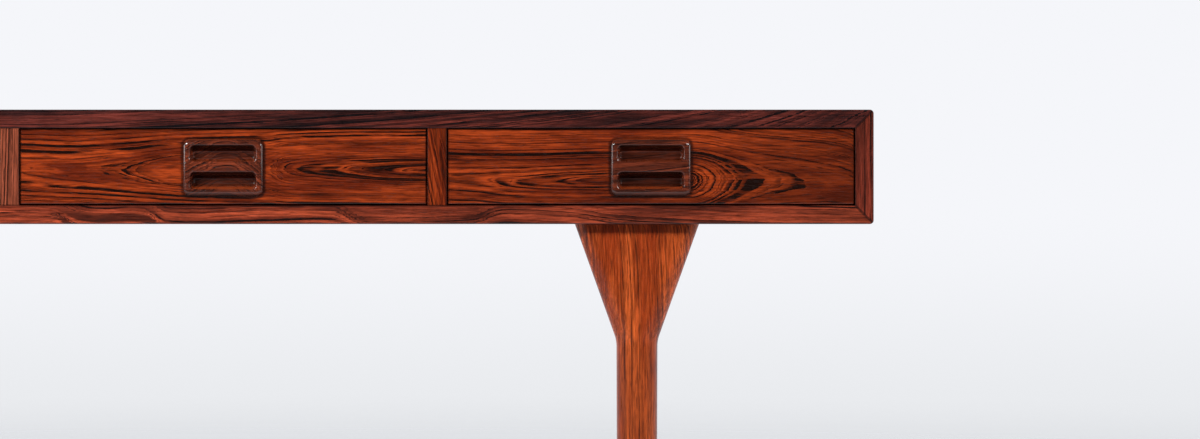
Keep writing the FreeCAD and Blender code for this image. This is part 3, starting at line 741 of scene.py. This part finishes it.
# Legs and their rails. The round stems are painted darker than the flares, as painted shade
LEG_PITHS = ((-294, -90), (158, -90), (294, -102))
STEM_SHADE = ((-294, 0.36), (110, 0.36), (190, 0), (294, 0))
for place, (end, side) in enumerate((e, s) for e in ("front", "rear") for s in SIDES):
    rosewood(
        f"{end}_{side}_leg", Z, X, "leg", 71.0 + 3 * place, LEG_PITHS, 20, wander=2.0, ring=2.8,
        bands=0.6, lines=0.85, stain=STEM_SHADE, **SEMI_GLOSS,
    )
for side, seed in (("left", 91.0), ("right", 93.0)):
    rosewood(f"{side}_leg_rail", Y, Z, "leg", seed, -60, 20, wander=3.0)

# Drawer boxes and runners
for number in DRAWERS:
    for place, part in enumerate(("left_side", "right_side")):
        pale(f"drawer_{number}_{part}", "oak", Y, Z, 100.0 + 7 * number + place)
    pale(f"drawer_{number}_back", "oak", X, Z, 104.0 + 7 * number)
    pale(f"drawer_{number}_bottom", "birch", X, Y, 140.0 + 5 * number, 60, 40, 16.0)
    pale(f"drawer_{number}_runners", "beech", Y, Z, 170.0 + 3 * number)
pale("mitre_tongues", "birch", Y, Z, 190.0)


# Metal and plastic. Depths and heights are in millimetres
TURNING_DEPTH = 0.03
SPECKLE_DEPTH = 0.05
SCUFF_HEIGHT = 1.4


def screw_steel():
    """Plain steel, turned and a little tarnished."""
    material, tree, shader = new_material("screw_steel")
    place = tree.nodes.new("ShaderNodeTexCoord").outputs["Object"]
    tarnish = noise(tree, stretched(tree, place, (260, 260, 260), (0, 0, 0)), 4.0, 0.6)
    turning = noise(tree, stretched(tree, place, (900, 900, 5200), (0, 0, 0)), 2.0)
    colour = mixed(tree, span(tree, tarnish, 0.35, 0.7), srgb(196, 194, 188), srgb(146, 138, 126))
    rough = calc(tree, "MULTIPLY_ADD", tarnish, 0.3, calc(tree, "MULTIPLY_ADD", turning, 0.12, 0.14))
    bump = add(tree, "ShaderNodeBump", Height=turning, Strength=0.25, Distance=TURNING_DEPTH * MM)
    feed(tree, shader.inputs["Base Color"], colour)
    feed(tree, shader.inputs["Roughness"], rough)
    feed(tree, shader.inputs["Normal"], bump.outputs["Normal"])
    shader.inputs["Metallic"].default_value = 1.0
    return material


def glide_nylon():
    """Dark brown moulded nylon, scuffed pale where it meets the floor."""
    material, tree, shader = new_material("glide_nylon")
    place = tree.nodes.new("ShaderNodeTexCoord").outputs["Object"]
    speckle = noise(tree, stretched(tree, place, (1400, 1400, 1400), (0, 0, 0)), 2.0)
    scuff = noise(tree, stretched(tree, place, (190, 420, 420), (0, 0, 0)), 4.0, 0.65)
    low = level_span(tree, parts_of(tree, place)["Z"], (0.0, SCUFF_HEIGHT), 1.0, 0.0)
    worn = calc(tree, "MULTIPLY", span(tree, scuff, 0.4, 0.7), low)
    colour = mixed(tree, span(tree, speckle, 0.3, 0.7), srgb(62, 48, 40), srgb(78, 62, 52))
    colour = mixed(tree, calc(tree, "MULTIPLY", worn, 0.6), colour, srgb(132, 118, 104))
    bump = add(tree, "ShaderNodeBump", Height=speckle, Strength=0.3, Distance=SPECKLE_DEPTH * MM)
    feed(tree, shader.inputs["Base Color"], colour)
    feed(tree, shader.inputs["Roughness"], calc(tree, "MULTIPLY_ADD", scuff, 0.3, 0.36))
    feed(tree, shader.inputs["Normal"], bump.outputs["Normal"])
    return material


steel = screw_steel()
for fastening in ("runner_screws", "leg_screws", "leg_rail_screws"):
    wear(fastening, steel)
wear("leg_glides", glide_nylon())


# Studio. Lengths are in metres
BACKDROP = srgb(245, 246, 250)
BACKDROP_LOW = srgb(231, 233, 236)
FLOOR_SEEN = srgb(224, 226, 229)
FLOOR_BOUNCE = srgb(162, 162, 164)
FLOOR_GLOW = 0.3
FLOOR_ROUGHNESS = 0.7
FLOOR_REACH = 7.0
FLOOR_SOLID = 1.5
FLOOR_SIDES = 96
BACK_LIGHT = 0.8
FRONT_LIGHT = 0.1
DAYLIGHT = srgb(248, 250, 255)
DIM_ROOM = srgb(58, 58, 60)


def shown_directly(tree, path):
    """1 for what the camera sees, straight or in gloss or glass, and 0 for what only lights the desk."""
    shows = calc(tree, "MAXIMUM", path["Is Camera Ray"], path["Is Glossy Ray"])
    return calc(tree, "MAXIMUM", shows, path["Is Transmission Ray"])


def make_world():
    """A pale studio behind the desk and a dimmer room behind the camera, which sees pale all round."""
    world = bpy.data.worlds.new("studio")
    world.use_nodes = True
    tree = world.node_tree
    tree.nodes.clear()
    direction = parts_of(tree, tree.nodes.new("ShaderNodeTexCoord").outputs["Generated"])
    to_the_front = span(tree, calc(tree, "MULTIPLY", direction["Y"], -1.0), -0.2, 0.6)
    path = tree.nodes.new("ShaderNodeLightPath").outputs
    shows = shown_directly(tree, path)
    away = span(tree, direction["Y"], -0.3, 0.8, 1.0, 0.0)
    dim = calc(tree, "MULTIPLY", away, path["Is Glossy Ray"])
    backdrop = mixed(tree, span(tree, direction["Z"], -0.075, 0.005), BACKDROP_LOW, BACKDROP)
    seen = add(tree, "ShaderNodeBackground", Color=mixed(tree, dim, backdrop, DIM_ROOM), Strength=1.0)
    strength = span(tree, to_the_front, 0.0, 1.0, BACK_LIGHT, FRONT_LIGHT, "LINEAR")
    light = add(tree, "ShaderNodeBackground", Color=DAYLIGHT, Strength=strength)
    either = add(tree, "ShaderNodeMixShader", Fac=shows)
    tree.links.new(light.outputs["Background"], either.inputs[1])
    tree.links.new(seen.outputs["Background"], either.inputs[2])
    output = tree.nodes.new("ShaderNodeOutputWorld")
    tree.links.new(either.outputs["Shader"], output.inputs["Surface"])
    bpy.context.scene.world = world


def make_floor():
    """A pale round floor that takes the desk's shadow and fades into the backdrop, clear from below."""
    mesh = bpy.data.meshes.new("floor")
    rim = [
        (FLOOR_REACH * math.cos(turn), FLOOR_REACH * math.sin(turn), 0)
        for turn in (2 * math.pi * step / FLOOR_SIDES for step in range(FLOOR_SIDES))
    ]
    mesh.from_pydata(rim, [], [range(FLOOR_SIDES)])
    floor = bpy.data.objects.new("floor", mesh)
    bpy.context.scene.collection.objects.link(floor)
    material, tree, shader = new_material("studio_floor")
    shows = shown_directly(tree, tree.nodes.new("ShaderNodeLightPath").outputs)
    feed(tree, shader.inputs["Base Color"], mixed(tree, shows, FLOOR_BOUNCE, FLOOR_SEEN))
    shader.inputs["Emission Color"].default_value = FLOOR_SEEN
    feed(tree, shader.inputs["Emission Strength"], calc(tree, "MULTIPLY", shows, FLOOR_GLOW))
    shader.inputs["Roughness"].default_value = FLOOR_ROUGHNESS
    place = tree.nodes.new("ShaderNodeTexCoord").outputs["Object"]
    far = vector_calc(tree, "LENGTH", place)
    from_below = tree.nodes.new("ShaderNodeNewGeometry").outputs["Backfacing"]
    solid = span(tree, far, FLOOR_SOLID, FLOOR_REACH, 1.0, 0.0)
    from_above = calc(tree, "SUBTRACT", 1.0, from_below)
    feed(tree, shader.inputs["Alpha"], calc(tree, "MULTIPLY", solid, from_above))
    floor.data.materials.append(material)


# Light boxes: place, target, width, height and power
LEFT_BOX = ((-0.6, -1.4, 1.2), (0.25, -0.37, 0.6), 0.7, 0.12, 19)
RIGHT_BOX = ((1.6, -1.4, 1.2), (0.75, -0.37, 0.6), 0.7, 0.12, 11)
LEFT_SIDE_BOX = ((-1.9, -0.76, 0.94), (0.25, -0.37, 0.66), 0.8, 0.5, 6)
RIGHT_SIDE_BOX = ((2.9, -0.76, 0.94), (0.75, -0.37, 0.66), 0.8, 0.5, 4)

# How far in front of its box a glint hangs, as a share of the way to the target
GLINT_AHEAD = 0.05


def make_lamp(name, place, target, width, height, power, mirrored):
    """A long, low light box that hangs level and faces the target. Gloss shows it only if mirrored."""
    light = bpy.data.lights.new(name, "AREA")
    light.shape = "RECTANGLE"
    light.size = width
    light.size_y = height
    light.energy = power
    lamp = bpy.data.objects.new(name, light)
    lamp.location = place
    lamp.rotation_euler = (Vector(target) - Vector(place)).to_track_quat("-Z", "Y").to_euler()
    lamp.visible_camera = False
    lamp.visible_glossy = mirrored
    bpy.context.scene.collection.objects.link(lamp)
    return lamp


def make_glint(name, place, target, width, height, power, pieces):
    """The mirror image of a light box, on these pieces alone. It hangs just in front of the box."""
    ahead = Vector(place).lerp(Vector(target), GLINT_AHEAD)
    lamp = make_lamp(name, ahead, target, width, height, power, True)
    lamp.visible_diffuse = False
    lamp.light_linking.receiver_collection = pieces


# The camera looks straight at the front. Its axis meets the front's plane over the right leg
CAMERA_DISTANCE = 3.75
SENSOR_WIDTH = 36.0


def make_camera():
    front = cad_low.y
    leg_low, leg_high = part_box("front_right_leg")
    axis_x = (leg_low.x + leg_high.x) / 2
    frame_width = PHOTO_WIDTH * METRES_PER_PIXEL
    frame_middle = (PHOTO_WIDTH / 2 - DESK_MIDDLE_PX) * METRES_PER_PIXEL
    height = cad_high.z - (PHOTO_HEIGHT / 2 - DESK_TOP_PX) * METRES_PER_PIXEL
    lens = bpy.data.cameras.new("camera")
    lens.sensor_fit = "HORIZONTAL"
    lens.sensor_width = SENSOR_WIDTH
    lens.lens = SENSOR_WIDTH * CAMERA_DISTANCE / frame_width
    lens.shift_x = (frame_middle - axis_x) / frame_width
    camera = bpy.data.objects.new("camera", lens)
    camera.location = (axis_x, front - CAMERA_DISTANCE, height)
    camera.rotation_euler = (math.radians(90), 0, 0)
    bpy.context.scene.collection.objects.link(camera)
    bpy.context.scene.camera = camera


make_world()
make_floor()
pulls = bpy.data.collections.new("polished_pulls")
for number in DRAWERS:
    pulls.objects.link(nodes[f"drawer_{number}_pull"])
make_lamp("left_light_box", *LEFT_BOX, False)
make_lamp("right_light_box", *RIGHT_BOX, False)
make_glint("left_glint", *LEFT_BOX, pulls)
make_glint("right_glint", *RIGHT_BOX, pulls)
make_lamp("left_side_box", *LEFT_SIDE_BOX, True)
make_lamp("right_side_box", *RIGHT_SIDE_BOX, True)
make_camera()
bpy.context.scene.view_settings.view_transform = "Standard"
